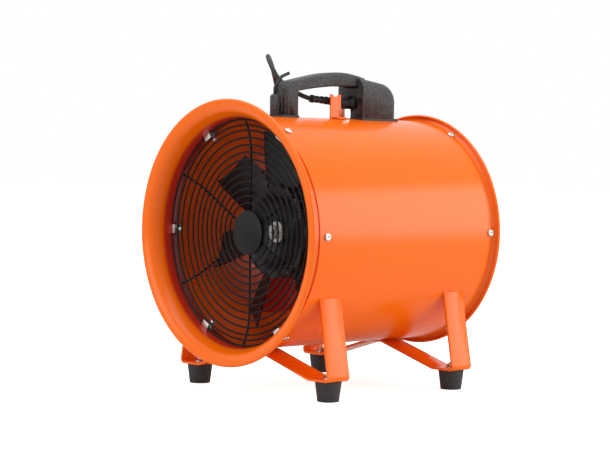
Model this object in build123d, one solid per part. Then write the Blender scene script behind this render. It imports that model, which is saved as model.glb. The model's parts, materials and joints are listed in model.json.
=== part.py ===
from build123d import *
from math import atan2, cos, degrees, hypot, pi, radians, sin, sqrt, tan
import os

# Portable duct fan. Millimetres, +Z up. The airflow axis lies along Y and the intake faces -Y.
# The origin is on the floor, below the middle of the drum.

# Whole fan
axis_height = 210.0
overall_length = 355.0
fit_gap = 0.2
close_gap = 0.1
sheet = 1.2

# Drum, bellmouth and outlet rim
drum_radius = 152.0
bell_depth = 31.0
bell_lip_radius = 173.3
bell_roll_radius = 2.6
bell_first_turn = 30.0
neck_length = 16.0
rim_length = 10.5
rim_lip_radius = 160.5
rim_bead_radius = 1.6
lead_hole_radius = 8.0

# Guards
guard_edge_inset = 33.7
guard_rim_radius = 147.0
guard_inner_radius = 38.8
guard_ring_pitch = 9.45
guard_ring_count = 11
guard_edge_pitch = 7.0
guard_flat_radius = 103.0
guard_depth = 10.3
ring_wire = 2.5
spoke_wire = 3.0
weld_gap = 0.02
spoke_count = 6
guard_disc_radius = 28.9
guard_disc_thickness = 1.5
guard_disc_depth = 4.0
rear_guard_inset = 21.0

# Guard clips and drum screws
clip_width = 12.0
clip_thickness = 1.0
clip_reach = 9.5
screw_radius = 2.5
screw_head_radius = 4.9
screw_head_height = 2.9
screw_length = 14.0
front_screw_inset = 42.8
rear_screw_inset = 12.0
nut_flats = 8.0
nut_height = 4.0

# Impeller
blade_count = 7
blade_tip_radius = 135.2
blade_thickness = 2.4
hub_radius = 60.7
hub_mouth_radius = 47.5
hub_length = 40.0
hub_wall = 3.0
hub_face_inset = 89.0
boss_radius = 12.0
shaft_radius = 6.0
shaft_clearance = 0.05
hub_nut_flats = 17.0
hub_nut_height = 9.0
hub_washer_radius = 14.0
hub_washer_thickness = 2.0

# Motor
motor_radius = 58.0
motor_length = 118.0
motor_wall = 3.0
motor_front_gap = 8.0
cap_length = 13.0
bearing_radius = 15.0
bearing_width = 10.0
stator_radius = 54.5
rotor_radius = 31.0
air_gap = 0.6
core_length = 62.0
winding_length = 16.0
fin_count = 24

# Motor cradle
cradle_half_width = 92.0
cradle_length = 96.0
cradle_sheet = 3.0
cradle_pad = 42.0

# Leg brackets
bracket_sheet = 3.0
bracket_width = 36.5
front_bracket_y = -108.0
rear_bracket_y = 117.5
bracket_half_width = 149.5
bracket_plate_height = 26.0
bracket_plate_inner = 110.0
bracket_splay = 10.5
bracket_bend = 5.0
brace_flat = 12.0

# Feet
foot_spread = 128.7
foot_height = 26.0
foot_top_radius = 17.2
foot_bottom_radius = 13.8
foot_bolt_radius = 3.0
foot_nut_flats = 10.0
foot_nut_height = 5.0

# Handle
handle_top = 424.0
leg_front = -82.0
leg_back = -60.5
grip_half_width = 14.0
grip_thickness = 19.0
grip_end = 61.0
grip_round = 5.0
box_front = 46.5
box_back = 113.5
box_half_width = 25.0
box_wall = 2.5
gasket_thickness = 3.0
rib_radius = 8.0
rib_offset = -6.0
rib_height = 27.0

# Cable and its fittings
cord_radius = 3.1
gland_height = 383.5
gland_radius = 10.3
gland_flange = 3.5
relief_root_radius = 6.4
relief_tip_radius = 4.4
relief_ribs = 6
coil_turns = 2.0
upper_turns = 1.75
coil_outer = 42.5
coil_shift = 2.5
coil_pitch = 6.9
coil_lift = 1.3
lead_radius = 4.0

# Run capacitor
capacitor_radius = 11.0
capacitor_length = 30.0
capacitor_x = 9.5
capacitor_y = 81.0

# Rocker switch
rocker_length = 20.0
rocker_width = 12.0
rocker_tilt = 10.0
bezel_length = 27.0
bezel_width = 19.0
bezel_lip = 1.8
switch_y = 80.0
switch_z = 384.0

front_y = -overall_length / 2
rear_y = overall_length / 2
drum_front = front_y + bell_depth
drum_rear = rear_y - rim_length
drum_inner = drum_radius - sheet
fan_axis = Axis((0, 0, axis_height), (0, 1, 0))
fan_plane = Plane(origin=(0, 0, axis_height), x_dir=(1, 0, 0), z_dir=(0, 0, 1))
gap_angle = 360.0 / spoke_count


# Shared shapes

# A disc or tube along Y from y0 to y1, centred on the fan axis unless told otherwise.
def ring_y(y0, y1, outer, inner=0.0, x=0.0, z=axis_height):
    plane = Plane(origin=(x, y0, z), x_dir=(1, 0, 0), z_dir=(0, 1, 0))
    body = Solid.make_cylinder(outer, y1 - y0, plane)
    if inner > 0:
        body = body - Solid.make_cylinder(inner, y1 - y0, plane)
    return body


def cylinder_z(x, y, z0, z1, radius):
    return Solid.make_cylinder(radius, z1 - z0, Plane(origin=(x, y, z0)))


def hexagon_z(x, y, z0, z1, flats):
    return extrude(Plane(origin=(x, y, z0)) * RegularPolygon(flats / sqrt(3), 6), z1 - z0)


# Places a shape built around +X at height zero at an angle round the fan axis.
def round_axis(shape, angle):
    return Pos(0, 0, axis_height) * Rot(0, -angle, 0) * shape


# Section of a bent sheet. It follows runs and bends, and a positive bend turns left.
def bent_strip(start, heading, steps, thickness):
    x, y = start
    angle = radians(heading)
    half = thickness / 2
    left, right = [], []

    def side(px, py, direction, offset):
        return (px - offset * sin(direction), py + offset * cos(direction))

    for step in steps:
        if step[0] == "run":
            nx, ny = x + step[1] * cos(angle), y + step[1] * sin(angle)
            left.append(Line(side(x, y, angle, half), side(nx, ny, angle, half)))
            right.append(Line(side(x, y, angle, -half), side(nx, ny, angle, -half)))
        else:
            radius, turn = step[1], radians(step[2])
            way = 1 if turn > 0 else -1
            cx, cy = side(x, y, angle, way * radius)
            end = angle + turn
            nx, ny = side(cx, cy, end, -way * radius)
            middle = angle + turn / 2
            mx, my = side(cx, cy, middle, -way * radius)
            for group, offset in ((left, half), (right, -half)):
                group.append(ThreePointArc(side(x, y, angle, offset), side(mx, my, middle, offset),
                                           side(nx, ny, end, offset)))
            angle = end
        x, y = nx, ny
    caps = [Line(left[0] @ 0, right[0] @ 0), Line(left[-1] @ 1, right[-1] @ 1)]
    return make_face(Wire(left + right + caps))


# Two tangent arcs from p0 heading t0 to p1 heading t1.
def biarc(p0, t0, p1, t1):
    v = p1 - p0
    t = t0 + t1
    facing = 1 - t0.dot(t1)
    if facing < 1e-9:
        reach = v.dot(v) / (4 * v.dot(t1))
    else:
        reach = (-v.dot(t) + sqrt(v.dot(t) ** 2 + 2 * facing * v.dot(v))) / (2 * facing)
    joint = (p0 + p1) * 0.5 + (t0 - t1) * (reach / 2)
    first = TangentArc(p0, joint, tangent=t0)
    return [first, TangentArc(joint, p1, tangent=first % 1)]


def spin(section):
    return revolve(fan_plane * section, fan_axis)


# Pan-head screw along +X, its head seated at radius seat and its tip pointing at the axis.
def drum_screw(seat, y):
    shank = Pos(seat - screw_length, y, 0) * Rot(0, 90, 0) * Cylinder(
        screw_radius, screw_length + 0.5, align=(Align.CENTER, Align.CENTER, Align.MIN))
    head = Pos(seat, y, 0) * Rot(0, 90, 0) * Cylinder(
        screw_head_radius, screw_head_height, align=(Align.CENTER, Align.CENTER, Align.MIN))
    head = fillet(head.edges().filter_by(GeomType.CIRCLE).sort_by(Axis.X)[-1], screw_head_height * 0.7)
    slot = Pos(seat + screw_head_height, y, 0) * (Box(2.4, 5.0, 1.0) + Box(2.4, 1.0, 5.0))
    return shank + head - slot


# Hexagon nut round the screw, between the two radii.
def drum_nut(outer_seat, y, height, flats, bore):
    body = extrude(Plane(origin=(outer_seat - height, y, 0), x_dir=(0, 1, 0), z_dir=(1, 0, 0))
                   * RegularPolygon(flats / sqrt(3), 6), height)
    hole = Pos(outer_seat - height / 2, y, 0) * Rot(0, 90, 0) * Cylinder(bore, height * 2)
    return body - hole


# Drum shell and its two ends

front_screw_y = front_y + front_screw_inset
rear_screw_y = rear_y - rear_screw_inset
neck_outer = drum_inner - close_gap
neck_middle = neck_outer - sheet / 2
lead_hole_y = (box_front + box_back) / 2


def screw_holes(y):
    hole = Pos(drum_radius, y, 0) * Rot(0, 90, 0) * Cylinder(screw_radius + fit_gap, 30)
    return [round_axis(hole, k * gap_angle) for k in range(spoke_count)]


def drum_shell():
    body = ring_y(drum_front, drum_rear, drum_radius, drum_inner)
    body = body - screw_holes(front_screw_y) - screw_holes(rear_screw_y)
    top = axis_height + drum_radius
    for x, y, radius in handle_screw_places:
        body = body - cylinder_z(x, y, top - 20, top + 10, radius + fit_gap)
    return body - cylinder_z(0, lead_hole_y, top - 20, top + 10, lead_hole_radius)


# Flared mouth: a neck inside the drum, two arcs that open it out, and a rolled edge.
def bellmouth():
    rise = bell_lip_radius - sheet / 2 - bell_roll_radius - neck_middle
    run = bell_depth - sheet / 2
    turn = radians(bell_first_turn)
    wide = (rise * sin(turn) - run * (1 - cos(turn))) / (
        cos(turn) * sin(turn) - (1 - sin(turn)) * (1 - cos(turn)))
    gentle = (run - wide * (1 - sin(turn))) / sin(turn)
    steps = [("run", neck_length), ("bend", gentle, bell_first_turn),
             ("bend", wide, 90 - bell_first_turn), ("bend", bell_roll_radius, 170)]
    section = bent_strip((neck_middle, drum_front + neck_length), -90, steps, sheet)
    return spin(section) - screw_holes(front_screw_y)


# Outlet rim: a collar inside the drum's end, a shallow flare and a rolled bead.
def outlet_rim():
    bead = rim_bead_radius
    rise = rim_lip_radius - sheet / 2 - 2 * bead - neck_middle
    run = rim_length - sheet / 2 - bead
    turn = 2 * atan2(rise, run)
    radius = run / sin(turn) + bead
    steps = [("run", neck_length), ("bend", radius, -degrees(turn)), ("bend", bead, -200)]
    section = bent_strip((neck_middle, drum_rear - neck_length), 90, steps, sheet)
    return spin(section) - screw_holes(rear_screw_y)


# Wire guards

guard_arc = (guard_depth ** 2 + (guard_rim_radius - guard_flat_radius) ** 2) / (2 * guard_depth)
inner_rings = [guard_inner_radius + k * guard_ring_pitch for k in range(guard_ring_count)]
ring_radii = inner_rings + [guard_rim_radius - guard_edge_pitch, guard_rim_radius]


# How far a ring of this radius lies behind the guard's outer ring.
def dish(radius):
    out = max(0.0, radius - guard_flat_radius)
    return guard_depth - (guard_arc - sqrt(guard_arc ** 2 - out ** 2))


# Guard facing -Y whose outer ring lies at y. Spokes run behind the rings, each wire a solid.
def wire_guard(y):
    wire = ring_wire / 2
    back = wire + spoke_wire / 2 + weld_gap
    wires = [Pos(0, y + dish(radius), axis_height) * Rot(90, 0, 0) * Torus(radius, wire)
             for radius in ring_radii]
    flat = y + guard_depth + back
    for k in range(spoke_count):
        path = Line((guard_disc_radius - 10, flat, 0), (guard_flat_radius, flat, 0))
        bend = TangentArc((guard_flat_radius, flat, 0), (guard_rim_radius, y + back, 0), tangent=(1, 0, 0))
        wireway = Wire([path, bend])
        section = Plane(origin=path @ 0, z_dir=(1, 0, 0)) * Circle(spoke_wire / 2)
        wires.append(round_axis(sweep(section, path=wireway), 90 + k * gap_angle))
    return Compound(wires)


# Cover plate in the middle of a guard, welded to the spokes' inner ends.
def guard_disc(y):
    seat = y + guard_depth + ring_wire / 2
    face = seat - guard_disc_depth
    plate = ring_y(face, face + guard_disc_thickness, guard_disc_radius)
    return plate + ring_y(face, seat, guard_disc_radius, guard_disc_radius - guard_disc_thickness)


def mirrored(shape):
    return mirror(shape, Plane.XZ)


front_guard_y = front_y + guard_edge_inset
rear_guard_y = -(rear_y - rear_guard_inset)
clip_seat = neck_outer - sheet


# Zinc clip: a foot against the neck, held by the drum screw, and a finger before the outer ring.
def guard_clip(ring_y_place, screw_y):
    front = ring_y_place - ring_wire / 2 - fit_gap
    seat = clip_seat - close_gap
    foot_front = min(front - clip_thickness, screw_y - 6.0)
    foot_back = max(front, screw_y + 6.0)
    foot = Pos(seat - clip_thickness / 2, (foot_front + foot_back) / 2, 0) * Box(
        clip_thickness, foot_back - foot_front, clip_width)
    finger = Pos(seat - clip_reach / 2, front - clip_thickness / 2, 0) * Box(
        clip_reach, clip_thickness, clip_width)
    hole = Pos(seat, screw_y, 0) * Rot(0, 90, 0) * Cylinder(screw_radius + fit_gap, 20)
    body = foot + finger - hole
    keep = Pos(0, (foot_front + foot_back) / 2, 0) * Rot(90, 0, 0) * Cylinder(seat, 60)
    return body & keep


# Impeller

hub_face = front_y + hub_face_inset
blade_rows = (
    # radius, leading angle, leading inset, trailing angle, trailing inset
    (hub_radius - 2.0, 157.2, 0.8, 127.2, 27.0),
    (98.0, 154.2, 0.8, 126.5, 30.5),
    (blade_tip_radius, 151.7, 0.8, 132.3, 24.8),
)


def blade_point(radius, angle, y):
    turn = radians(angle)
    return Vector(radius * cos(turn), y, axis_height + radius * sin(turn))


# One blade section: a thin arched strip on the cylinder of its radius, as a closed flat face.
def blade_section(radius, lead_angle, lead_y, tail_angle, tail_y):
    lead = blade_point(radius, lead_angle, hub_face + lead_y)
    tail = blade_point(radius, tail_angle, hub_face + tail_y)
    middle_angle = radians((lead_angle + tail_angle) / 2)
    outward = Vector(cos(middle_angle), 0, sin(middle_angle))
    chord = (tail - lead).normalized()
    normal = outward.cross(chord).normalized()
    if normal.Y < 0:
        normal = normal * -1
    centre = (lead + tail) * 0.5
    camber = 0.07 * (tail - lead).length
    half = blade_thickness / 2
    upper = ThreePointArc(lead + normal * half, centre + normal * (half + camber), tail + normal * half)
    lower = ThreePointArc(lead - normal * half, centre + normal * (camber - half), tail - normal * half)
    ends = [Line(upper @ 0, lower @ 0), Line(upper @ 1, lower @ 1)]
    return Wire([upper, ends[1], lower, ends[0]])


def blade():
    return Solid.make_loft([blade_section(*row) for row in blade_rows])


def impeller():
    back = hub_face + hub_length
    cup = ring_y(hub_face, back, hub_radius, hub_radius - hub_wall)
    lip = ring_y(hub_face, hub_face + hub_wall, hub_radius, hub_mouth_radius)
    web = ring_y(hub_face + 14, hub_face + 14 + hub_wall, hub_radius - 1, boss_radius - 1)
    mouth = ring_y(hub_face, hub_face + 15, hub_mouth_radius + hub_wall, hub_mouth_radius)
    boss = ring_y(hub_face + 5, back - 6, boss_radius, shaft_radius + shaft_clearance)
    body = cup + lip + web + mouth + boss
    for k in range(blade_count):
        rib = Pos(0, hub_face + 24, axis_height) * Rot(0, -360.0 / blade_count * (k + 0.5), 0) * Pos(
            (boss_radius + hub_radius - hub_wall) / 2, 0, 0) * Box(
            hub_radius - hub_wall - boss_radius + 2, 16, hub_wall)
        body = body + rib
    first = blade()
    for k in range(blade_count):
        body = body + first.rotate(fan_axis, -360.0 / blade_count * k)
    return body


def hub_washer():
    y = hub_face + 5
    return ring_y(y - hub_washer_thickness, y, hub_washer_radius, shaft_radius + fit_gap)


def hub_nut():
    y = hub_face + 5 - hub_washer_thickness
    plane = Plane(origin=(0, y - hub_nut_height, axis_height), x_dir=(1, 0, 0), z_dir=(0, 1, 0))
    body = extrude(plane * RegularPolygon(hub_nut_flats / sqrt(3), 6), hub_nut_height)
    cone = Solid.make_cone(hub_nut_flats / 2, hub_nut_flats / 2 + hub_nut_height, hub_nut_height, plane)
    return (body & cone) - ring_y(y - 20, y + 5, shaft_radius + fit_gap)


# Motor

motor_front = hub_face + hub_length + motor_front_gap
motor_rear = motor_front + motor_length
core_front = (motor_front + motor_rear - core_length) / 2
core_rear = core_front + core_length
shaft_front = hub_face + 5 - hub_washer_thickness - hub_nut_height - 2
shaft_rear = motor_rear - motor_wall - 1.5


def motor_shaft():
    return ring_y(shaft_front, shaft_rear, shaft_radius)


def rotor_core():
    return ring_y(core_front, core_rear, rotor_radius, shaft_radius + fit_gap / 10)


def stator_core():
    body = ring_y(core_front, core_rear, stator_radius, rotor_radius + air_gap)
    for k in range(fin_count):
        slot = Pos(rotor_radius + air_gap + 6.5, (core_front + core_rear) / 2, 0) * Box(8, core_length + 2, 3.4)
        body = body - round_axis(slot, k * 360.0 / fin_count)
    return body


def stator_windings():
    outer, inner = stator_radius - 7, rotor_radius + 5
    rings = [ring_y(core_front - fit_gap - winding_length, core_front - fit_gap, outer, inner),
             ring_y(core_rear + fit_gap, core_rear + fit_gap + winding_length, outer, inner)]
    return Compound([fillet(r.edges().filter_by(GeomType.CIRCLE), 4) for r in rings])


def motor_body():
    body = ring_y(motor_front + cap_length, motor_rear - cap_length, motor_radius, motor_radius - motor_wall)
    middle = (motor_front + motor_rear) / 2
    length = motor_length - 2 * cap_length - 8
    for k in range(fin_count):
        fin = Pos(motor_radius + 1.4, middle, 0) * Box(4, length, 2)
        body = body + round_axis(fin, (k + 0.5) * 360.0 / fin_count)
    hole = cylinder_z(0, lead_entry_y, axis_height + motor_radius - 10, axis_height + motor_radius + 10,
                      lead_radius + fit_gap)
    return body - hole


# End cap: a dished cover with its bearing seat. At the front, way is 1; at the rear it is -1.
def end_cap(face, way):
    def slab(a, b, outer, inner=0.0):
        y0, y1 = sorted((face + way * a, face + way * b))
        return ring_y(y0, y1, outer, inner)

    body = slab(0, motor_wall, motor_radius - 8, 0) + slab(motor_wall - 1, cap_length, motor_radius)
    inside = motor_radius - 2 * motor_wall
    body = body - slab(motor_wall + 1, cap_length + 1, inside)
    body = body + slab(motor_wall, motor_wall + bearing_width + 3, bearing_radius + 4, bearing_radius)
    body = body + slab(cap_length - 1, cap_length + 6, motor_radius - motor_wall - fit_gap, inside)
    if way > 0:
        body = body - slab(-5, 40, shaft_radius + 1.5)
    return body


def bearing(face, way):
    seat = motor_wall + 1 + fit_gap
    y0, y1 = sorted((face + way * seat, face + way * (seat + bearing_width)))
    return ring_y(y0, y1, bearing_radius - 0.02, shaft_radius + shaft_clearance)


# Cradle: a bench across the drum with a saddle under the motor, its legs welded to the drum.

cradle_front = motor_front + 14
cradle_rear = cradle_front + cradle_length
cradle_middle = (cradle_front + cradle_rear) / 2
cradle_top = axis_height - motor_radius - 5.0


def motor_cradle():
    top_middle = cradle_top - cradle_sheet / 2
    steps = [("run", 70.0), ("bend", 6.0, -82), ("run", 2 * cradle_half_width - 14.0), ("bend", 6.0, -82),
             ("run", 70.0)]
    face = bent_strip((0, 0), 82, steps, cradle_sheet)
    box = face.bounding_box()
    section = Pos(-box.center().X, top_middle + cradle_sheet / 2 - box.max.Y) * face
    plane = Plane(origin=(0, cradle_rear, 0), x_dir=(1, 0, 0), z_dir=(0, -1, 0))
    body = extrude(plane * section, cradle_length)
    body = body & ring_y(cradle_front - 5, cradle_rear + 5, drum_inner - fit_gap)
    for x, y in cradle_bolt_places:
        body = body - cylinder_z(x, y, cradle_top - 20, cradle_top + 20, foot_bolt_radius + fit_gap)
    return body


cradle_bolt_places = [(x, y) for x in (-cradle_pad, cradle_pad)
                      for y in (cradle_front + 16, cradle_rear - 16)]


# Cast feet of the motor: two rails under the barrel.
def motor_feet():
    reach = sqrt(motor_radius ** 2 - (cradle_pad + 9) ** 2)
    block = Pos(0, cradle_middle, (cradle_top + fit_gap + axis_height - reach + 4) / 2) * Box(
        2 * cradle_pad + 18, cradle_length - 16, axis_height - reach + 4 - cradle_top - fit_gap)
    block = block - ring_y(cradle_front - 20, cradle_rear + 20, motor_radius + 3.4 + fit_gap)
    hollow = Pos(0, cradle_middle, cradle_top) * Box(2 * cradle_pad - 20, cradle_length, 12)
    block = block - hollow
    for x, y in cradle_bolt_places:
        block = block - cylinder_z(x, y, cradle_top - 5, cradle_top + 60, foot_bolt_radius + fit_gap)
        block = block - cylinder_z(x, y, cradle_top + 8, cradle_top + 60, 7.5)
    return block


def cradle_bolts():
    bolts = []
    for x, y in cradle_bolt_places:
        low = cradle_top - cradle_sheet - foot_nut_height - 2
        shank = cylinder_z(x, y, low, cradle_top + 9, foot_bolt_radius)
        head = hexagon_z(x, y, cradle_top + 8 + fit_gap / 2, cradle_top + 12, foot_nut_flats)
        bolts.append(shank + head)
    return Compound(bolts)


def cradle_nuts():
    top = cradle_top - cradle_sheet - fit_gap / 2
    return Compound([hexagon_z(x, y, top - foot_nut_height, top, foot_nut_flats)
                     - cylinder_z(x, y, top - 20, top + 5, foot_bolt_radius + fit_gap / 2)
                     for x, y in cradle_bolt_places])


# Leg brackets: one steel strap bent from side to side, with two splayed legs and a shallow brace.

def leg_bracket(y):
    plate_middle = bracket_plate_height + bracket_sheet / 2
    brace_top = axis_height - drum_radius - fit_gap - bracket_sheet / 2
    brace_rise = brace_top - plate_middle
    slope = degrees(atan2(brace_rise, bracket_plate_inner - brace_flat))
    slack = tan(radians(slope) / 2)
    upright = 90 - bracket_splay
    corner = bracket_bend * tan(radians(90 + bracket_splay) / 2)
    leg_run = 130.0
    plate_run = bracket_half_width - bracket_sheet / 2 - bracket_plate_inner - bracket_bend * slack - corner
    brace_run = hypot(brace_rise, bracket_plate_inner - brace_flat) - 2 * bracket_bend * slack
    steps = [("run", plate_run), ("bend", bracket_bend, 90 + bracket_splay), ("run", leg_run)]
    start = (bracket_plate_inner + bracket_bend * slack, plate_middle)
    right = bent_strip(start, 0, steps, bracket_sheet)
    brace_steps = [("bend", bracket_bend, -slope), ("run", brace_run), ("bend", bracket_bend, slope),
                   ("run", brace_flat - bracket_bend * slack)]
    brace = bent_strip(start, 180, brace_steps, bracket_sheet)
    half_section = [right, brace]
    sections = half_section + [mirror(part, Plane.YZ) for part in half_section]
    plane = Plane(origin=(0, y + bracket_width / 2, 0), x_dir=(1, 0, 0), z_dir=(0, -1, 0))
    body = None
    for part in sections:
        piece = extrude(plane * part, bracket_width)
        body = piece if body is None else body + piece
    drum = ring_y(y - 60, y + 60, drum_radius + fit_gap)
    above = Pos(0, y, axis_height + 100) * Box(500, 200, 260)
    body = body - drum - above
    keep = [s for s in body.solids() if s.bounding_box().min.Z < bracket_plate_height + 20]
    body = keep[0]
    for x in (-foot_spread, foot_spread):
        body = body - cylinder_z(x, y, 0, bracket_plate_height + 20, foot_bolt_radius + fit_gap)
    return body


foot_places = {
    "front_right": (foot_spread, front_bracket_y),
    "front_left": (-foot_spread, front_bracket_y),
    "rear_right": (foot_spread, rear_bracket_y),
    "rear_left": (-foot_spread, rear_bracket_y),
}
recess_depth = 8.0


def rubber_foot(x, y):
    cone = Solid.make_cone(foot_bottom_radius, foot_top_radius, foot_height, Plane(origin=(x, y, 0)))
    cone = fillet(cone.edges().filter_by(GeomType.CIRCLE).sort_by(Axis.Z)[0], 1.5)
    cone = cone - cylinder_z(x, y, -1, recess_depth, 7.0)
    return cone - cylinder_z(x, y, 0, foot_height + 1, foot_bolt_radius + fit_gap)


def foot_bolts():
    bolts = []
    for x, y in foot_places.values():
        head = hexagon_z(x, y, recess_depth - 4.2, recess_depth - 0.1, foot_nut_flats)
        top = bracket_plate_height + bracket_sheet + foot_nut_height + 2
        bolts.append(head + cylinder_z(x, y, recess_depth - 1, top, foot_bolt_radius))
    return Compound(bolts)


def foot_nuts():
    seat = bracket_plate_height + bracket_sheet + fit_gap / 2
    nuts = []
    for x, y in foot_places.values():
        nut = hexagon_z(x, y, seat, seat + foot_nut_height, foot_nut_flats)
        flange = cylinder_z(x, y, seat, seat + 1.2, foot_nut_flats / 2 + 2)
        hole = cylinder_z(x, y, seat - 1, seat + 20, foot_bolt_radius + fit_gap / 2)
        nuts.append(nut + flange - hole)
    return Compound(nuts)


# Handle

drum_top = axis_height + drum_radius
handle_base = drum_top + gasket_thickness
handle_screw_radius = 2.5
handle_screw_places = [(0.0, -71.0, handle_screw_radius), (0.0, box_front + 13, handle_screw_radius),
                       (0.0, box_back - 9, handle_screw_radius)]


def handle_plane(x):
    return Plane(origin=(x, 0, 0), x_dir=(0, 1, 0), z_dir=(1, 0, 0))


hook_radius = 2.2
hook_base = handle_base + rib_height - 8
hook_y = leg_front - 3.5


# Grip and front leg in side view, drawn in Y and Z.
def grip_profile():
    under = handle_top - grip_thickness
    shoulder = handle_top - 29.0
    nose = handle_top - 6.0
    outline = [Line((leg_front, handle_base - 6), (leg_front, shoulder))]
    outline += biarc(Vector(leg_front, shoulder), Vector(0, 1), Vector(-46, handle_top - 9.0),
                     Vector(1, 0.22).normalized())
    outline += biarc(Vector(-46, handle_top - 9.0), Vector(1, 0.22).normalized(),
                     Vector(17, handle_top), Vector(1, 0))
    outline += biarc(Vector(17, handle_top), Vector(1, 0), Vector(grip_end, nose),
                     Vector(1, -0.24).normalized())
    outline += [
        Line((grip_end, nose), (grip_end, under + 0.5)),
        ThreePointArc((grip_end, under + 0.5), (10, under), (leg_back, under - 8.5)),
        Line((leg_back, under - 8.5), (leg_back, handle_base - 6)),
        Line((leg_back, handle_base - 6), (leg_front, handle_base - 6)),
    ]
    return make_face(Wire(outline))


def handle_grip():
    body = extrude(handle_plane(-grip_half_width) * grip_profile(), 2 * grip_half_width)
    sides = [e for e in body.edges() if abs(abs(e.center().X) - grip_half_width) < 0.01
             and e.center().Z > handle_base]
    body = fillet([e for e in sides if e.center().Z > handle_top - 13 and e.length > 15], grip_round)
    sides = [e for e in body.edges() if abs(abs(e.center().X) - grip_half_width) < 0.01
             and e.center().Z > handle_base and e.length > 25]
    body = fillet(sides, grip_round / 2)
    rib = cylinder_z(rib_offset, leg_front - 1.5, handle_base - 6, handle_base + rib_height, rib_radius)
    rib = chamfer(rib.edges().filter_by(GeomType.CIRCLE).sort_by(Axis.Z)[-1], 2.5)
    body = body + rib
    body = body - (Pos(0, 0, axis_height) * Rot(90, 0, 0) * Cylinder(drum_radius + gasket_thickness, 500))
    slot = Pos(grip_half_width + rib_offset, leg_front, handle_base + 10) * Box(2.4, 5, 90)
    pilot = cylinder_z(0, -71.0, handle_base - 10, handle_base + 22, handle_screw_radius + fit_gap / 2)
    box_room = Pos(0, (box_front + box_back) / 2, 300) * Box(
        2 * box_half_width + 1, box_back - box_front + fit_gap, 2 * (handle_top - 22.0 - 300))
    hook_hole = cylinder_z(rib_offset, hook_y, hook_base - 0.1, handle_top, hook_radius + close_gap)
    return body - slot - pilot - box_room - hook_hole


# Switch box in side view, with its sloping top.
def box_profile(inset):
    top = handle_top - 6.5 - inset
    front, back = box_front + inset, box_back - inset
    base = handle_base - 8
    corner = handle_base + 20 - inset / 2
    curve = biarc(Vector(front, top), Vector(1, -0.12).normalized(), Vector(back, corner), Vector(0, -1))
    outline = [Line((front, base), (front, top))] + curve + [
        Line((back, corner), (back, base)),
        Line((back, base), (front, base)),
    ]
    return make_face(Wire(outline))


def switch_box():
    outer = extrude(handle_plane(-box_half_width) * box_profile(0), 2 * box_half_width)
    crown = [e for e in outer.edges() if abs(abs(e.center().X) - box_half_width) < 0.01
             and e.center().Z > handle_top - 35]
    outer = fillet(crown, 13.0)
    front_edges = [e for e in outer.edges() if abs(e.center().Y - box_front) < 0.5
                   and e.center().Z > handle_base]
    outer = fillet(front_edges, 1.2)
    inner = extrude(handle_plane(-box_half_width + box_wall) * box_profile(box_wall),
                    2 * (box_half_width - box_wall))
    inner_crown = [e for e in inner.edges() if abs(abs(e.center().X) - box_half_width + box_wall) < 0.01
                   and e.center().Z > handle_top - 35]
    inner = fillet(inner_crown, 11.0)
    body = outer - inner
    body = body - (Pos(0, 0, axis_height) * Rot(90, 0, 0) * Cylinder(drum_radius + gasket_thickness, 500))
    for (x, y, radius), wall_y in zip(handle_screw_places[1:], (box_front + 1, box_back - 1)):
        web = Pos(x, (y + wall_y) / 2, handle_base + 3) * Box(3.0, abs(y - wall_y), 12.0)
        post = cylinder_z(x, y, handle_base - 5, handle_base + 14, 5.5) + web - cylinder_z(
            x, y, handle_base - 10, handle_base + 30, radius + fit_gap / 2)
        post = post - (Pos(0, 0, axis_height) * Rot(90, 0, 0) * Cylinder(drum_radius + gasket_thickness, 500))
        body = body + post
    socket = Pos(0, (box_front + grip_end) / 2, handle_top - 12.5 - 2) * Box(
        2 * grip_half_width + 0.6, grip_end - box_front + 0.6 + 6, 26)
    socket = socket & (Pos(0, box_front + 3 + (grip_end - box_front) / 2, handle_top - 16) * Box(
        60, grip_end - box_front + 0.8 + 6, 40))
    gland = ring_y(box_front - 5, box_front + 10, 6.0 + fit_gap, z=gland_height)
    window = Pos(-box_half_width, switch_y, switch_z) * Box(
        20, bezel_length - 3 + 0.4, bezel_width - 3 + 0.4)
    return body - socket - gland - window


# Rubber gasket under a handle foot, following the drum.
def gasket(y0, y1, half_width, holes):
    block = Pos(0, (y0 + y1) / 2, drum_top) * Box(2 * half_width, y1 - y0, 24)
    sleeve = ring_y(y0 - 5, y1 + 5, drum_radius + gasket_thickness - 0.1, drum_radius + 0.1)
    body = block & sleeve
    for x, y, radius in holes:
        body = body - cylinder_z(x, y, drum_top - 20, drum_top + 20, radius + close_gap)
    keep = body.solids().sort_by(Axis.Z)[-1]
    return keep


# Screw driven upward through the drum into the handle.
def handle_screws():
    screws = []
    for x, y, radius in handle_screw_places:
        seat = drum_top - sheet - fit_gap / 2
        shank = cylinder_z(x, y, seat - 1, handle_base + 12, radius)
        head = cylinder_z(x, y, seat - 3.2, seat - 0.15, 4.8)
        screws.append(shank + head)
    return Compound(screws)


# Cord hook: a finger that rises from the rib and arches over the handle's shoulder.
def cord_hook():
    points = [(rib_offset, hook_y, hook_base), (rib_offset, hook_y, hook_base + 17),
              (rib_offset, hook_y + 10, hook_base + 31.0), (rib_offset, hook_y + 24, hook_base + 36.5)]
    path = FilletPolyline(*points, radius=[8.0, 12.0])
    section = Plane(origin=points[0], z_dir=(0, 0, 1)) * Circle(hook_radius)
    return sweep(section, path=path)


# Cable gland, strain relief and the earth lug beside them

def cable_gland():
    face = box_front - 0.1
    flange = ring_y(face - gland_flange, face, gland_radius, z=gland_height)
    collar = ring_y(face - gland_flange - 3.5, face - gland_flange, 8.0, z=gland_height)
    neck = ring_y(face - 1, face + box_wall + 4, 6.0, z=gland_height)
    lock = ring_y(face + box_wall + 0.3, face + box_wall + 4, 9.0, z=gland_height)
    return flange + collar + neck + lock


gland_front = box_front - 0.1 - gland_flange - 3.5
relief_start = Vector(0, gland_front - fit_gap / 2, gland_height)
relief_end = Vector(-7.5, -20.0, gland_height + 4.5)


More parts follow.
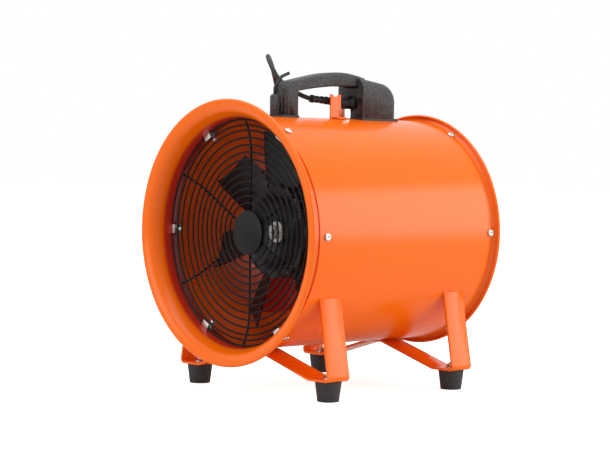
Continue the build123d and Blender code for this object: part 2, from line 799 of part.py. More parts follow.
# Ribbed, tapering sleeve that guards the cord where it leaves the gland.
def strain_relief():
    along = relief_end - relief_start
    length = along.length
    plane = Plane(origin=relief_start, z_dir=along)
    start = Solid.make_cylinder(relief_root_radius, 3.0, Plane(origin=relief_start, z_dir=(0, -1, 0)))
    body = Solid.make_cone(relief_root_radius - 1.4, relief_tip_radius - 0.5, length, plane) + start
    for k in range(relief_ribs):
        at = 9 + (length - 16) * k / (relief_ribs - 0.4)
        radius = relief_root_radius - (relief_root_radius - relief_tip_radius) * at / length
        rib_plane = Plane(origin=relief_start + along.normalized() * at, z_dir=along)
        body = body + Solid.make_cylinder(radius, 3.6, rib_plane)
    tip_plane = Plane(origin=relief_end - along.normalized() * 4.0, z_dir=along)
    body = body + Solid.make_cylinder(relief_tip_radius + 0.9, 4.0, tip_plane)
    return body - ring_y(gland_front - fit_gap / 2, gland_front + 10, 20, z=gland_height)


lug_y = 11.0
lug_x = 8.0
lug_width = 19.0


def cable_lug():
    base = drum_top + 0.15 - 0.8
    upright = Pos(lug_x, lug_y, base + 16.5) * Box(2.0, lug_width, 33.0)
    dip = Pos(lug_x, lug_y, base + 35.5) * Rot(0, 90, 0) * Cylinder(6.0, 10)
    foot = Pos(lug_x + 6, lug_y, base + 1) * Box(14.0, lug_width, 2.0)
    return upright + foot - dip - ring_y(lug_y - 40, lug_y + 40, drum_radius + 0.15)


def lug_block():
    y = lug_y + lug_width / 2 + 6.5
    body = Pos(lug_x + 2, y, drum_top + 6.7) * Box(11.0, 11.0, 12.0)
    body = chamfer(body.edges().filter_by(Axis.Z), 1.0)
    return body - ring_y(y - 20, y + 20, drum_radius + 0.15)


# Rocker switch in the box's far wall

bezel_face = -box_half_width - 0.1


def rocker_bezel():
    lip = Pos(bezel_face - bezel_lip / 2, switch_y, switch_z) * Box(bezel_lip, bezel_length, bezel_width)
    body = Pos(bezel_face + 7, switch_y, switch_z) * Box(14.2, bezel_length - 3, bezel_width - 3)
    well = Pos(bezel_face, switch_y, switch_z) * Box(19, rocker_length + 0.6, rocker_width + 0.6)
    tabs = [Pos(bezel_face + 17, switch_y + dy, switch_z) * Box(7, 0.8, 6.3) for dy in (-6, 6)]
    pin = Pos(bezel_face + 1.5, switch_y, switch_z) * Cylinder(1.2, rocker_width + 2)
    shell = lip + body - well
    return shell + pin + tabs


# The rocker turns on the bezel's cross pin. It is stored in the off position.
def rocker_switch():
    pivot = Vector(bezel_face + 1.5, switch_y, switch_z)
    body = Pos(bezel_face - 0.2, switch_y, switch_z) * Box(9.0, rocker_length, rocker_width)
    hollow = Pos(bezel_face - 6.2, switch_y, switch_z) * Cylinder(rocker_length * 0.42, rocker_width + 2)
    cheeks = Pos(bezel_face + 1.5, switch_y, switch_z) * Cylinder(rocker_length / 2, rocker_width)
    body = (body & cheeks) - (Pos(-1.4, 0, 0) * hollow)
    body = body - Pos(bezel_face + 1.5, switch_y, switch_z) * Cylinder(1.2 + 0.05, rocker_width + 4)
    return body.rotate(Axis(pivot, (0, 0, 1)), -rocker_tilt)


def run_capacitor():
    body = Pos(capacitor_x, capacitor_y, handle_base + 17) * Rot(90, 0, 0) * Cylinder(
        capacitor_radius, capacitor_length)
    return fillet(body.edges().filter_by(GeomType.CIRCLE), 1.5)


def capacitor_clip():
    y = capacitor_y
    bore = capacitor_radius + close_gap
    band = ring_y(y - 5, y + 5, bore + 1.1, bore, x=capacitor_x, z=handle_base + 17)
    foot = Pos(box_half_width - box_wall - 1.2, y, handle_base + 17) * Box(2.0, 10, 14)
    return band + foot - ring_y(y - 10, y + 10, bore, x=capacitor_x, z=handle_base + 17)


# Lead from the box down through the drum to the motor

lead_entry_y = motor_front + 34


def lead_grommet():
    top = drum_top
    body = cylinder_z(0, lead_hole_y, top - sheet - 2, top + 2, lead_hole_radius + 2)
    groove = ring_y(lead_hole_y - 20, lead_hole_y + 20, drum_radius + 0.1, drum_inner - 0.1)
    neck = cylinder_z(0, lead_hole_y, top - 5, top + 5, lead_hole_radius - 0.2)
    body = (body - groove) + (neck & cylinder_z(0, lead_hole_y, top - 3, top + 2, 9))
    return body - cylinder_z(0, lead_hole_y, top - 10, top + 10, lead_radius + 0.1)


def motor_lead():
    low = axis_height + motor_radius - 2
    high = drum_top + 6
    points = [(0, lead_hole_y, high), (0, lead_hole_y, drum_inner + axis_height - 22),
              (0, lead_entry_y, low + 38), (0, lead_entry_y, low)]
    path = FilletPolyline(*points, radius=[22.0, 22.0])
    return sweep(Plane(origin=points[0], z_dir=(0, 0, -1)) * Circle(lead_radius - 0.1), path=path)


# Power cord

cord_points = [
    relief_end + (relief_end - relief_start).normalized() * 1.8, Vector(-16.5, -36.0, 394.5),
    Vector(-21.5, -54.0, 407.5), Vector(-25.0, -68.5, 425.0),
    Vector(-34.0, -71.0, 445.5), Vector(-52.0, -61.0, 458.0), Vector(-71.0, -43.0, 454.0),
    Vector(-86.0, -23.0, 435.0), Vector(-96.0, -5.0, 404.0), Vector(-111.0, 11.0, 365.0),
    Vector(-138.0, 26.0, 320.0), Vector(-167.0, 39.0, 270.0), Vector(-195.0, 51.0, 215.0),
    Vector(-222.0, 62.0, 163.0), Vector(-249.0, 73.0, 114.0), Vector(-277.0, 84.0, 70.0),
    Vector(-306.0, 94.0, 34.0), Vector(-338.0, 104.0, 11.0),
]
coil_low = cord_radius + coil_lift
coil_centre = Vector(-398.0, 170.0, 0)
coil_inner_turn = coil_outer - coil_turns * coil_pitch


def corner_radii(points):
    radii = []
    for a, b, c in zip(points, points[1:], points[2:]):
        turn = radians((b - a).get_angle(c - b))
        radii.append(0.45 * min((b - a).length, (c - b).length) / tan(turn / 2))
    return radii


def power_cord():
    points = cord_points + [coil_lead - coil_direction(0) * 32.0, coil_lead]
    radii = corner_radii(points)
    print("cord radii", [round(r, 1) for r in radii])
    path = FilletPolyline(*points, radius=radii)
    section = Plane(origin=points[0], z_dir=path % 0) * Circle(cord_radius)
    body = sweep(section, path=path)
    print("cord length", round(path.length, 1), "volume ratio",
          round(body.volume / (pi * cord_radius ** 2 * path.length), 4))
    return body


# Point on the coil. Two flat turns wind in, half a turn climbs, and the upper turns wind out.
def coil_state(angle):
    turns = angle / (2 * pi)
    part = min(1.0, max(0.0, (turns - coil_turns) / 0.5))
    inward = min(turns, coil_turns + 0.5)
    outward = max(0.0, turns - coil_turns - 0.5)
    spread = min(1.0, outward / 0.5)
    radius = coil_outer + coil_pitch * (outward - inward) + coil_shift * spread ** 2 * (3 - 2 * spread)
    height = coil_low + coil_pitch * part ** 2 * (3 - 2 * part)
    return Vector(coil_centre.X + radius * cos(angle), coil_centre.Y + radius * sin(angle), height)


def coil_direction(angle):
    step = 1e-4
    return (coil_state(angle + step) - coil_state(angle - step)).normalized()


coil_end_angle = 2 * pi * (coil_turns + 0.5 + upper_turns)


def cord_coil():
    edges = []
    quarter = pi / 2
    steps = int(round(coil_end_angle / quarter))
    edges.append(Line(coil_lead, coil_state(0)))
    for k in range(steps):
        a, b = k * quarter, (k + 1) * quarter
        edges += biarc(coil_state(a), coil_direction(a), coil_state(b), coil_direction(b))
    edges.append(Line(coil_state(coil_end_angle), coil_tail))
    path = Wire(edges)
    points = [path @ (k / 1500) for k in range(1501)]
    spacing = path.length / 1500
    skip = int(5 * cord_radius / spacing)
    least = min((points[i] - points[j]).length for i in range(0, 1501, 3) for j in range(i + skip, 1501, 3))
    print("coil least gap", round(least - 2 * cord_radius, 2), "length", round(path.length, 1))
    section = Plane(origin=path @ 0, z_dir=path % 0) * Circle(cord_radius)
    return sweep(section, path=path)


coil_lead = coil_state(0) - coil_direction(0) * (2 * cord_radius)
coil_tail = coil_state(coil_end_angle) + coil_direction(coil_end_angle) * (2 * cord_radius)


def coil_tie():
    inner = coil_inner_turn - cord_radius - 1.8
    outer = coil_outer + cord_radius + 0.6
    low, high = coil_low - cord_radius - 0.15, coil_low + coil_pitch + cord_radius + 0.5
    x = coil_centre.X + (inner + outer) / 2
    hole = Pos(x, coil_centre.Y, (low + high) / 2) * Box(outer - inner, 30, high - low)
    band = Pos(x, coil_centre.Y, (low + high) / 2) * Box(outer - inner + 2, 14, high - low + 2)
    band = fillet(band.edges().filter_by(Axis.Y), 1.5)
    return band - hole


# Plug at the coil's free end, lying on the coil: a round moulded body with two pins along its axis.

plug_length = 32.0
plug_radius = 15.0
plug_nose = 9.0
pin_radius = 2.4
pin_length = 19.0
pin_spacing = 19.0
plug_bend = 24.0
coil_way = Vector(coil_direction(coil_end_angle).X, coil_direction(coil_end_angle).Y, 0).normalized()
plug_way = Vector(-coil_way.Y, coil_way.X, 0)
plug_height = coil_low + coil_pitch + cord_radius + plug_radius + 0.3
plug_start = Vector(coil_tail.X, coil_tail.Y, plug_height) + (coil_way + plug_way) * plug_bend


def plug_relief():
    path = Wire(biarc(coil_tail, coil_way, plug_start, plug_way))
    return sweep(Plane(origin=coil_tail, z_dir=coil_way) * Circle(cord_radius + 0.5), path=path)


def plug_body():
    nose = Solid.make_cone(7.5, plug_radius, plug_nose, Plane(origin=plug_start + plug_way * 0.1, z_dir=plug_way))
    plane = Plane(origin=plug_start + plug_way * (plug_nose + 0.1), z_dir=plug_way)
    return nose + Solid.make_cylinder(plug_radius, plug_length - plug_nose, plane)


def plug_pins():
    pins = []
    for side in (-0.5, 0.5):
        origin = plug_start + plug_way * (plug_length + 0.2) + coil_way * (side * pin_spacing)
        pins.append(Solid.make_cylinder(pin_radius, pin_length, Plane(origin=origin, z_dir=plug_way)))
    return Compound(pins)


# Build every node

def around(shape):
    return Compound([round_axis(shape, k * gap_angle) for k in range(spoke_count)])


def nodes():
    rear_clip = guard_clip(rear_guard_y, -rear_screw_y)
    front_clip = guard_clip(front_guard_y, front_screw_y)
    seat = drum_radius + fit_gap / 2
    nut_seat = clip_seat - close_gap - clip_thickness - close_gap
    front_nut = drum_nut(nut_seat, front_screw_y, nut_height, nut_flats, screw_radius + fit_gap / 2)
    rear_nut = drum_nut(nut_seat, rear_screw_y, nut_height, nut_flats, screw_radius + fit_gap / 2)
    made = {
        "drum_shell": drum_shell(),
        "bellmouth": bellmouth(),
        "outlet_rim": outlet_rim(),
        "front_guard": wire_guard(front_guard_y),
        "front_guard_disc": guard_disc(front_guard_y),
        "rear_guard": mirrored(wire_guard(rear_guard_y)),
        "rear_guard_disc": mirrored(guard_disc(rear_guard_y)),
        "front_guard_clips": around(front_clip),
        "rear_guard_clips": around(mirrored(rear_clip)),
        "front_drum_screws": around(drum_screw(seat, front_screw_y)),
        "rear_drum_screws": around(drum_screw(seat, rear_screw_y)),
        "front_clip_nuts": around(front_nut),
        "rear_clip_nuts": around(rear_nut),
        "impeller": impeller(),
        "hub_washer": hub_washer(),
        "hub_nut": hub_nut(),
        "motor_shaft": motor_shaft(),
        "rotor_core": rotor_core(),
        "stator_core": stator_core(),
        "stator_windings": stator_windings(),
        "motor_body": motor_body(),
        "motor_front_cap": end_cap(motor_front, 1),
        "motor_rear_cap": end_cap(motor_rear, -1),
        "front_bearing": bearing(motor_front, 1),
        "rear_bearing": bearing(motor_rear, -1),
        "motor_feet": motor_feet(),
        "motor_cradle": motor_cradle(),
        "cradle_bolts": cradle_bolts(),
        "cradle_nuts": cradle_nuts(),
        "front_leg_bracket": leg_bracket(front_bracket_y),
        "rear_leg_bracket": leg_bracket(rear_bracket_y),
        "foot_bolts": foot_bolts(),
        "foot_nuts": foot_nuts(),
        "handle_grip": handle_grip(),
        "switch_box": switch_box(),
        "front_gasket": gasket(leg_front - 1.5 - rib_radius, leg_back, grip_half_width + 1, handle_screw_places[:1]),
        "rear_gasket": gasket(box_front, box_back, box_half_width, handle_screw_places[1:]
                              + [(0, lead_hole_y, lead_hole_radius + 2.5)]),
        "handle_screws": handle_screws(),
        "cord_hook": cord_hook(),
        "cable_gland": cable_gland(),
        "strain_relief": strain_relief(),
        "cable_lug": cable_lug(),
        "lug_block": lug_block(),
        "rocker_bezel": rocker_bezel(),
        "rocker_switch": rocker_switch(),
        "run_capacitor": run_capacitor(),
        "capacitor_clip": capacitor_clip(),
        "lead_grommet": lead_grommet(),
        "motor_lead": motor_lead(),
        "power_cord": power_cord(),
        "cord_coil": cord_coil(),
        "coil_tie": coil_tie(),
        "plug_relief": plug_relief(),
        "plug_body": plug_body(),
        "plug_pins": plug_pins(),
    }
    for name, (x, y) in foot_places.items():
        made["foot_" + name] = rubber_foot(x, y)
    return made


os.makedirs("parts", exist_ok=True)
for name, shape in nodes().items():
    export_step(shape, "parts/" + name + ".step")
print("written")
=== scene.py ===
import json
import math
import bpy
from mathutils import Matrix, Vector

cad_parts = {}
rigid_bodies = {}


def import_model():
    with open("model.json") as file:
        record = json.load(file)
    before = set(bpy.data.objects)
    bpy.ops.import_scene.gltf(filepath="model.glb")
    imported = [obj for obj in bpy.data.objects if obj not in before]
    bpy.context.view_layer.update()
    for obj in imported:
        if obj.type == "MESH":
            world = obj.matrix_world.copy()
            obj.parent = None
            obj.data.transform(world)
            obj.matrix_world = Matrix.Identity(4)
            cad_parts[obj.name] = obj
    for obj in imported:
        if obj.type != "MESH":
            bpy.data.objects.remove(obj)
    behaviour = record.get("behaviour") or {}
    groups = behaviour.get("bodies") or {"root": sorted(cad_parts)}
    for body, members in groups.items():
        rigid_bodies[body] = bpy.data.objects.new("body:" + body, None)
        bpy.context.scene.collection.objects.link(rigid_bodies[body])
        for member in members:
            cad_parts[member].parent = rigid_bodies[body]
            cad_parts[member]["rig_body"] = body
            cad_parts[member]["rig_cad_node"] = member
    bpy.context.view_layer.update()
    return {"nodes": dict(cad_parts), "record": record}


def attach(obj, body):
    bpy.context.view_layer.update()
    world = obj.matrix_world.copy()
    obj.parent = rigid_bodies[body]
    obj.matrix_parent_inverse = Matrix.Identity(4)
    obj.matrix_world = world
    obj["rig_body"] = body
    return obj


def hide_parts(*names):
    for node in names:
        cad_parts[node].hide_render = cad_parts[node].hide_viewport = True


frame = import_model()
bodyOfNode = {n: b for b, nodes in frame["record"]["behaviour"]["bodies"].items() for n in nodes}
slotOfNode = {part["node"]: part["material_slot"] for part in frame["record"]["subparts"]}
axisHeight = 0.210


# Camera, measured from the photograph
camera = {
    "place": (1.9054, -1.7648, 0.3103),
    "right": (0.67191, 0.74053, 0.01253),
    "up": (-0.03483, 0.01469, 0.99929),
    "back": (0.73981, -0.67186, 0.03566),
    "lens": 113.52,
}


def addCamera(c):
    data = bpy.data.cameras.new("photoCamera")
    data.sensor_width = 36
    data.sensor_fit = "HORIZONTAL"
    data.lens = c["lens"]
    data.clip_end = 50
    holder = bpy.data.objects.new("photoCamera", data)
    turn = Matrix((c["right"], c["up"], c["back"])).transposed().to_4x4()
    holder.matrix_world = Matrix.Translation(c["place"]) @ turn
    bpy.context.scene.collection.objects.link(holder)
    bpy.context.scene.camera = holder


addCamera(camera)
bpy.context.scene.view_settings.view_transform = "Standard"
print("camera ready")


# Studio: a white room with large soft lamps, powers in watts
studio = {
    "white": (1, 1, 1, 1),
    "floorSize": 30,
    "floorColor": (0.86, 0.86, 0.86, 1),
    "floorGlow": 0.78,
    "roomLight": 0.42,
    "lamps": {
        "rightPanel": {"place": (2.3, 2.0, 0.95), "size": (2.6, 1.9), "power": 52},
        "topPanel": {"place": (0.2, -0.2, 2.5), "size": (2.6, 2.6), "power": 44},
        "frontPanel": {"place": (-0.6, -3.2, 1.3), "size": (2.0, 2.0), "power": 36},
    },
}


def link(tree, a, out, b, into):
    tree.links.new(a.outputs[out], b.inputs[into])


def mathNode(tree, operation):
    node = tree.nodes.new("ShaderNodeMath")
    node.operation = operation
    return node


def addWorld(s):
    world = bpy.data.worlds.new("whiteRoom")
    bpy.context.scene.world = world
    world.use_nodes = True
    tree = world.node_tree
    tree.nodes.clear()
    out = tree.nodes.new("ShaderNodeOutputWorld")
    mix = tree.nodes.new("ShaderNodeMixShader")
    seen = tree.nodes.new("ShaderNodeBackground")
    unseen = tree.nodes.new("ShaderNodeBackground")
    rays = tree.nodes.new("ShaderNodeLightPath")
    either = mathNode(tree, "MAXIMUM")
    through = mathNode(tree, "MAXIMUM")
    seen.inputs["Color"].default_value = s["white"]
    seen.inputs["Strength"].default_value = 1
    unseen.inputs["Color"].default_value = s["white"]
    unseen.inputs["Strength"].default_value = s["roomLight"]
    link(tree, rays, "Is Camera Ray", either, 0)
    link(tree, rays, "Is Glossy Ray", either, 1)
    link(tree, either, 0, through, 0)
    link(tree, rays, "Is Transmission Ray", through, 1)
    link(tree, through, 0, mix, 0)
    link(tree, unseen, 0, mix, 1)
    link(tree, seen, 0, mix, 2)
    link(tree, mix, 0, out, 0)


def addFloor(s):
    bpy.ops.mesh.primitive_plane_add(size=s["floorSize"], location=(0, 0, 0))
    floor = bpy.context.object
    floor.name = "studioFloor"
    mat = bpy.data.materials.new("studioFloor")
    mat.use_nodes = True
    tree = mat.node_tree
    tree.nodes.clear()
    out = tree.nodes.new("ShaderNodeOutputMaterial")
    add = tree.nodes.new("ShaderNodeAddShader")
    diffuse = tree.nodes.new("ShaderNodeBsdfDiffuse")
    glow = tree.nodes.new("ShaderNodeEmission")
    rays = tree.nodes.new("ShaderNodeLightPath")
    level = mathNode(tree, "MULTIPLY")
    level.inputs[1].default_value = s["floorGlow"]
    diffuse.inputs["Color"].default_value = s["floorColor"]
    link(tree, rays, "Is Camera Ray", level, 0)
    link(tree, level, 0, glow, "Strength")
    link(tree, diffuse, 0, add, 0)
    link(tree, glow, 0, add, 1)
    link(tree, add, 0, out, 0)
    floor.data.materials.append(mat)


def addLamp(name, lamp):
    data = bpy.data.lights.new(name, "AREA")
    data.shape = "RECTANGLE"
    data.size, data.size_y = lamp["size"]
    data.energy = lamp["power"]
    holder = bpy.data.objects.new(name, data)
    holder.location = lamp["place"]
    aim = Vector((0, 0, axisHeight)) - Vector(lamp["place"])
    holder.rotation_euler = aim.to_track_quat("-Z", "Y").to_euler()
    bpy.context.scene.collection.objects.link(holder)


addWorld(studio)
addFloor(studio)
for lampName, lamp in studio["lamps"].items():
    addLamp(lampName, lamp)
print("studio ready")


# Finishes: two tones drift into each other, and a fine pattern gives the bump.
# "speckle" sharpens the drift. The deeper red tone is painted shade: surfaces nearer the drum's
# axis than its reach take it, standing in for the shade inside the drum
driftDetail = 4
finishes = {
    "orange_paint": {
        "tones": ((0.92, 0.140, 0.0), (0.97, 0.160, 0.001)), "drift": 7, "rough": (0.22, 0.31),
        "grain": 900, "bump": 0.035, "depth": 0.0004, "coat": 0.12, "coatRough": 0.14,
        # the deeper red tone and its reach paint shade onto the inside of the drum
        "specular": 0.22, "inner": (0.52, 0.026, 0.012), "innerReach": (0.1500, 0.1512)},
    "dark_guard": {
        "tones": ((0.002, 0.002, 0.002), (0.005, 0.005, 0.005)), "drift": 30, "rough": (0.30, 0.44),
        "grain": 1400, "bump": 0.10, "depth": 0.0003, "specular": 0.2},
    "black_plastic": {
        "tones": ((0.007, 0.007, 0.008), (0.014, 0.014, 0.015)), "drift": 40, "rough": (0.38, 0.52),
        "grain": 1500, "bump": 0.18, "depth": 0.0003, "specular": 0.35},
    "impeller_plastic": {
        "tones": ((0.008, 0.008, 0.010), (0.015, 0.015, 0.018)), "drift": 18, "rough": (0.28, 0.42),
        "grain": 1100, "bump": 0.08, "depth": 0.0003, "specular": 0.35},
    "handle_plastic": {
        "tones": ((0.010, 0.010, 0.011), (0.062, 0.062, 0.066)), "drift": 420,
        "rough": (0.42, 0.56), "grain": 620, "bump": 0.8, "depth": 0.0009, "cells": True,
        "specular": 0.45, "speckle": (0.42, 0.62)},
    "zinc": {
        "tones": ((0.50, 0.50, 0.47), (0.72, 0.71, 0.68)), "drift": 120, "rough": (0.24, 0.40),
        "grain": 1800, "bump": 0.12, "depth": 0.0002, "metallic": 1},
    "steel": {
        "tones": ((0.46, 0.46, 0.47), (0.62, 0.62, 0.63)), "drift": 60, "rough": (0.18, 0.32),
        "grain": 2400, "bump": 0.10, "depth": 0.0002, "metallic": 1, "stretch": (1, 0.05, 1)},
    "motor_paint": {
        "tones": ((0.020, 0.020, 0.022), (0.035, 0.034, 0.036)), "drift": 25, "rough": (0.36, 0.55),
        "grain": 800, "bump": 0.35, "depth": 0.0005},
    "lamination": {
        "tones": ((0.16, 0.16, 0.17), (0.30, 0.30, 0.31)), "drift": 60, "rough": (0.35, 0.55),
        "grain": 1600, "bump": 0.4, "depth": 0.0004, "metallic": 0.8, "stretch": (0.03, 1, 0.03)},
    "copper": {
        "tones": ((0.34, 0.11, 0.035), (0.55, 0.21, 0.07)), "drift": 200, "rough": (0.25, 0.42),
        "grain": 900, "bump": 0.6, "depth": 0.0008, "metallic": 0.9, "stretch": (1, 0.2, 1)},
    "rubber": {
        "tones": ((0.012, 0.012, 0.012), (0.024, 0.024, 0.025)), "drift": 45, "rough": (0.55, 0.72),
        "grain": 1300, "bump": 0.25, "depth": 0.0003},
    "cord_rubber": {
        "tones": ((0.013, 0.013, 0.014), (0.025, 0.025, 0.026)), "drift": 60, "rough": (0.45, 0.60),
        "grain": 1500, "bump": 0.20, "depth": 0.0003},
    "pin_brass": {
        "tones": ((0.60, 0.56, 0.48), (0.74, 0.70, 0.60)), "drift": 120, "rough": (0.16, 0.28),
        "grain": 2000, "bump": 0.08, "depth": 0.0002, "metallic": 1},
    "capacitor_case": {
        "tones": ((0.52, 0.52, 0.50), (0.62, 0.62, 0.59)), "drift": 30, "rough": (0.40, 0.52),
        "grain": 1200, "bump": 0.12, "depth": 0.0003},
}


# Painted shade: distance from the drum's axis chooses between a deeper red tone, standing in for
# the shade inside the drum, and the outer tone
def addPaintedShade(tree, f, spot, outer, shader):
    parts = tree.nodes.new("ShaderNodeSeparateXYZ")
    across = mathNode(tree, "MULTIPLY")
    height = mathNode(tree, "SUBTRACT")
    squares = mathNode(tree, "MULTIPLY_ADD")
    reach = mathNode(tree, "SQRT")
    ease = tree.nodes.new("ShaderNodeMapRange")
    paintedShadeMix = tree.nodes.new("ShaderNodeMix")
    height.inputs[1].default_value = axisHeight
    ease.inputs["From Min"].default_value, ease.inputs["From Max"].default_value = f["innerReach"]
    paintedShadeMix.data_type = "RGBA"
    paintedShadeMix.inputs["A"].default_value = (*f["inner"], 1)
    link(tree, spot, "Object", parts, 0)
    link(tree, parts, "X", across, 0)
    link(tree, parts, "X", across, 1)
    link(tree, parts, "Z", height, 0)
    link(tree, height, 0, squares, 0)
    link(tree, height, 0, squares, 1)
    link(tree, across, 0, squares, 2)
    link(tree, squares, 0, reach, 0)
    link(tree, reach, 0, ease, "Value")
    link(tree, outer, "Result", paintedShadeMix, "B")
    link(tree, ease, "Result", paintedShadeMix, "Factor")
    link(tree, paintedShadeMix, "Result", shader, "Base Color")


def makeFinish(name, f):
    mat = bpy.data.materials.new(name)
    mat.use_nodes = True
    tree = mat.node_tree
    shader = tree.nodes["Principled BSDF"]
    spot = tree.nodes.new("ShaderNodeTexCoord")
    lay = tree.nodes.new("ShaderNodeMapping")
    lay.inputs["Scale"].default_value = f.get("stretch", (1, 1, 1))
    drift = tree.nodes.new("ShaderNodeTexNoise")
    drift.inputs["Scale"].default_value = f["drift"]
    drift.inputs["Detail"].default_value = driftDetail
    blend = tree.nodes.new("ShaderNodeMix")
    blend.data_type = "RGBA"
    blend.inputs["A"].default_value = (*f["tones"][0], 1)
    blend.inputs["B"].default_value = (*f["tones"][1], 1)
    grain = tree.nodes.new("ShaderNodeTexVoronoi" if f.get("cells") else "ShaderNodeTexNoise")
    grain.inputs["Scale"].default_value = f["grain"]
    spread = tree.nodes.new("ShaderNodeMapRange")
    spread.inputs["To Min"].default_value = f["rough"][0]
    spread.inputs["To Max"].default_value = f["rough"][1]
    bump = tree.nodes.new("ShaderNodeBump")
    bump.inputs["Strength"].default_value = f["bump"]
    bump.inputs["Distance"].default_value = f["depth"]
    link(tree, spot, "Object", lay, "Vector")
    link(tree, spot, "Object", drift, "Vector")
    link(tree, lay, "Vector", grain, "Vector")
    contrast = tree.nodes.new("ShaderNodeMapRange")
    contrast.inputs["From Min"].default_value, contrast.inputs["From Max"].default_value = f.get(
        "speckle", (0, 1))
    link(tree, drift, 0, contrast, "Value")
    link(tree, contrast, "Result", blend, "Factor")
    link(tree, blend, "Result", shader, "Base Color")
    link(tree, drift, 0, spread, "Value")
    link(tree, spread, "Result", shader, "Roughness")
    link(tree, grain, 0, bump, "Height")
    link(tree, bump, "Normal", shader, "Normal")
    # painted shade on surfaces inside the drum
    if "inner" in f:
        addPaintedShade(tree, f, spot, blend, shader)
    shader.inputs["Metallic"].default_value = f.get("metallic", 0)
    shader.inputs["Specular IOR Level"].default_value = f.get("specular", 0.5)
    shader.inputs["Coat Weight"].default_value = f.get("coat", 0)
    shader.inputs["Coat Roughness"].default_value = f.get("coatRough", 0.1)
    return mat


finishOf = {name: makeFinish(name, f) for name, f in finishes.items()}
print("finishes ready", len(finishOf))


def selectOnly(piece):
    for other in bpy.context.view_layer.objects:
        other.select_set(False)
    piece.select_set(True)
    bpy.context.view_layer.objects.active = piece


def setFinish(piece, slotName):
    piece.data.materials.clear()
    piece.data.materials.append(finishOf[slotName])


# Every node takes the finish of its slot
for nodeName, node in frame["nodes"].items():
    setFinish(node, slotOfNode[nodeName])


edges = {"mergeWithin": 0.00001, "flatWithin": 0.5, "sharpOver": 38, "segments": 2}


def easeEdges(piece, width, **limits):
    bevel = piece.modifiers.new("easedEdges", "BEVEL")
    bevel.width = width
    bevel.segments = edges["segments"]
    for key, value in limits.items():
        setattr(bevel, key, value)
    bpy.ops.object.modifier_apply(modifier="easedEdges")


# A merged and smoothly shaded copy of a node stands for it, with its sharp edges eased
def easedCopy(nodeName, pieceName, smoothAngle, edge):
    selectOnly(frame["nodes"][nodeName])
    bpy.ops.object.duplicate()
    piece = bpy.context.object
    piece.name = pieceName
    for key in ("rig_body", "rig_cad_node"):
        if key in piece:
            del piece[key]
    piece.parent = None
    selectOnly(piece)
    bpy.ops.object.mode_set(mode="EDIT")
    bpy.ops.mesh.select_all(action="SELECT")
    bpy.ops.mesh.remove_doubles(threshold=edges["mergeWithin"])
    if edge:
        bpy.ops.mesh.dissolve_limited(angle_limit=math.radians(edges["flatWithin"]))
    bpy.ops.object.mode_set(mode="OBJECT")
    if edge:
        easeEdges(piece, edge, limit_method="ANGLE", angle_limit=math.radians(edges["sharpOver"]))
    bpy.ops.object.shade_smooth_by_angle(angle=math.radians(smoothAngle))
    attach(piece, bodyOfNode[nodeName])
    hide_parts(nodeName)
    return piece


# node: (smoothing angle in degrees, eased edge in metres)
eased = {
    "bellmouth": (50, 0), "outlet_rim": (50, 0),
    "front_guard": (50, 0), "rear_guard": (50, 0), "front_guard_disc": (30, 0.0004),
    "rear_guard_disc": (30, 0.0004), "front_guard_clips": (30, 0.00025),
    "rear_guard_clips": (30, 0.00025), "front_drum_screws": (40, 0), "rear_drum_screws": (40, 0),
    "impeller": (32, 0), "hub_washer": (30, 0), "hub_nut": (30, 0), "motor_shaft": (30, 0.0005),
    "motor_body": (30, 0), "motor_front_cap": (30, 0), "motor_rear_cap": (30, 0),
    "motor_feet": (30, 0), "motor_cradle": (32, 0.0004), "front_leg_bracket": (32, 0.0005),
    "rear_leg_bracket": (32, 0.0005), "foot_bolts": (30, 0), "foot_nuts": (30, 0),
    "foot_front_right": (40, 0), "foot_front_left": (40, 0), "foot_rear_right": (40, 0),
    "foot_rear_left": (40, 0), "handle_grip": (45, 0), "switch_box": (45, 0),
    "front_gasket": (30, 0), "rear_gasket": (30, 0), "cord_hook": (50, 0), "cable_gland": (35, 0),
    "strain_relief": (35, 0), "cable_lug": (30, 0.0003), "lug_block": (30, 0),
    "rocker_bezel": (30, 0.0004), "rocker_switch": (30, 0.0004), "motor_lead": (50, 0),
    "lead_grommet": (35, 0), "plug_relief": (50, 0), "plug_body": (35, 0), "plug_pins": (35, 0),
    "coil_tie": (40, 0), "rotor_core": (30, 0), "stator_core": (30, 0), "stator_windings": (40, 0),
    "front_clip_nuts": (30, 0), "rear_clip_nuts": (30, 0), "cradle_bolts": (30, 0),
}


def pieceTitle(nodeName):
    words = nodeName.split("_")
    return words[0] + "".join(w.capitalize() for w in words[1:]) + "Dressed"


for nodeName, (angle, edge) in eased.items():
    easedCopy(nodeName, pieceTitle(nodeName), angle, edge)


# Drum: one smooth rolled shell
drum = {"radius": 0.152, "sheet": 0.0012, "sides": 192, "smoothAngle": 35}


def nodeSpan(nodeName):
    node = frame["nodes"][nodeName]
    places = [(node.matrix_world @ v.co).y for v in node.data.vertices]
    return min(places), max(places)


def makeDrum(d):
    front, rear = nodeSpan("drum_shell")
    bpy.ops.mesh.primitive_cylinder_add(vertices=d["sides"], radius=d["radius"], depth=rear - front,
                                        end_fill_type="NOTHING")
    piece = bpy.context.object
    piece.name = "drumShell"
    piece.data.transform(Matrix.Translation((0, (front + rear) / 2, axisHeight))
                         @ Matrix.Rotation(math.pi / 2, 4, "X"))
    selectOnly(piece)
    wall = piece.modifiers.new("wall", "SOLIDIFY")
    wall.thickness = d["sheet"]
    wall.offset = -1
    bpy.ops.object.modifier_apply(modifier="wall")
    bpy.ops.object.shade_smooth_by_angle(angle=math.radians(d["smoothAngle"]))
    setFinish(piece, "orange_paint")
    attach(piece, "housing")
    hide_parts("drum_shell")


makeDrum(drum)
print("drum ready")


# Heel that fills the switch box under the end of the grip
heel = {
    "size": (0.0288, 0.0060, 0.0084),
    "place": (0, 0.0496, 0.4007),
    "edge": 0.0008,
    "smoothAngle": 30,
}


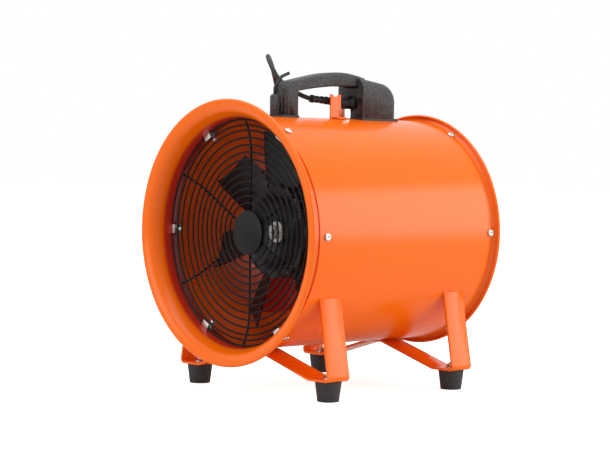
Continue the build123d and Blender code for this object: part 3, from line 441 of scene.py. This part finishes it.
def makeHeel(h):
    bpy.ops.mesh.primitive_cube_add(size=1)
    piece = bpy.context.object
    piece.name = "gripHeel"
    piece.data.transform(Matrix.Translation(h["place"]) @ Matrix.Diagonal((*h["size"], 1)))
    selectOnly(piece)
    easeEdges(piece, h["edge"])
    bpy.ops.object.shade_smooth_by_angle(angle=math.radians(h["smoothAngle"]))
    setFinish(piece, "handle_plastic")
    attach(piece, "housing")


makeHeel(heel)
print("heel ready")


# Power cord: one smooth line from the strain relief, over the handle and down to its coil.
# Radius and length are in metres, places and the coil's sizes in millimetres
mmPerMetre = 1000
cord = {
    "radius": 0.0031,
    "length": 1.655,
    "route": [
        (-7.7, -21.8, 388.1), (-12.0, -28.0, 390.5), (-18.0, -34.0, 394.5), (-26.0, -46.0, 403.0),
        (-34.0, -58.0, 416.0), (-42.0, -63.0, 434.0), (-56.0, -56.0, 446.0), (-72.0, -39.0, 444.0),
        (-84.0, -20.0, 427.0), (-94.0, -3.0, 398.0), (-109.0, 12.0, 362.0), (-137.0, 26.0, 320.0),
        (-167.0, 39.0, 270.0), (-195.0, 51.0, 215.0), (-222.0, 62.0, 163.0), (-249.0, 73.0, 114.0),
        (-277.0, 84.0, 70.0), (-306.0, 94.0, 34.0), (-338.0, 104.0, 11.0)],
    "coilCentre": (-398.0, 170.0),
    "coilLow": 4.4,
    "coilOuter": 42.5,
    "coilPitch": 6.9,
    "flatTurns": 2.0,
    "upperTurns": 1.75,
    "upperShift": 2.5,
    "climbTurns": 0.5,  # the climb to the upper layer, and the upper layer's shift outward
    "cornerCut": 0.55,  # the smooth line runs this far inside its points
    "lead": ((0.1, -40), (0, -14)),  # two points before the coil's start
    "tail": 6.2,
    "pointsPerTurn": 16,
    "roundness": 6,
}


def coilPoint(c, turns):
    climb = min(1, max(0, (turns - c["flatTurns"]) / c["climbTurns"]))
    inward = min(turns, c["flatTurns"] + c["climbTurns"])
    outward = max(0, turns - c["flatTurns"] - c["climbTurns"])
    spread = min(1, outward / c["climbTurns"])
    radius = c["coilOuter"] + c["coilPitch"] * (outward - inward)
    radius += c["upperShift"] * spread ** 2 * (3 - 2 * spread)
    radius += c["cornerCut"]
    angle = 2 * math.pi * turns
    x, y = c["coilCentre"]
    height = c["coilLow"] + c["coilPitch"] * climb ** 2 * (3 - 2 * climb)
    return (x + radius * math.cos(angle), y + radius * math.sin(angle), height)


def makeCord(c):
    allTurns = c["flatTurns"] + c["climbTurns"] + c["upperTurns"]
    steps = round(allTurns * c["pointsPerTurn"])
    coil = [coilPoint(c, allTurns * k / steps) for k in range(steps + 1)]
    start = coil[0]
    lead = [(start[0] + x, start[1] + y, c["coilLow"]) for x, y in c["lead"]]
    before, last = Vector(coil[-2]), Vector(coil[-1])
    tail = tuple(last + (last - before).normalized() * c["tail"])
    points = c["route"] + lead + coil + [tail]
    data = bpy.data.curves.new("powerCord", "CURVE")
    data.dimensions = "3D"
    data.bevel_depth = c["radius"]
    data.bevel_resolution = c["roundness"]
    data.resolution_u = c["roundness"]
    data.use_fill_caps = True
    line = data.splines.new("NURBS")
    line.points.add(len(points) - 1)
    for spot, p in zip(line.points, points):
        spot.co = (*(v / mmPerMetre for v in p), 1)
    line.order_u = 3
    line.use_endpoint_u = True
    piece = bpy.data.objects.new("powerCord", data)
    bpy.context.scene.collection.objects.link(piece)
    data.materials.append(finishOf["cord_rubber"])
    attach(piece, "housing")
    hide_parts("power_cord", "cord_coil")


makeCord(cord)
print("cord ready")
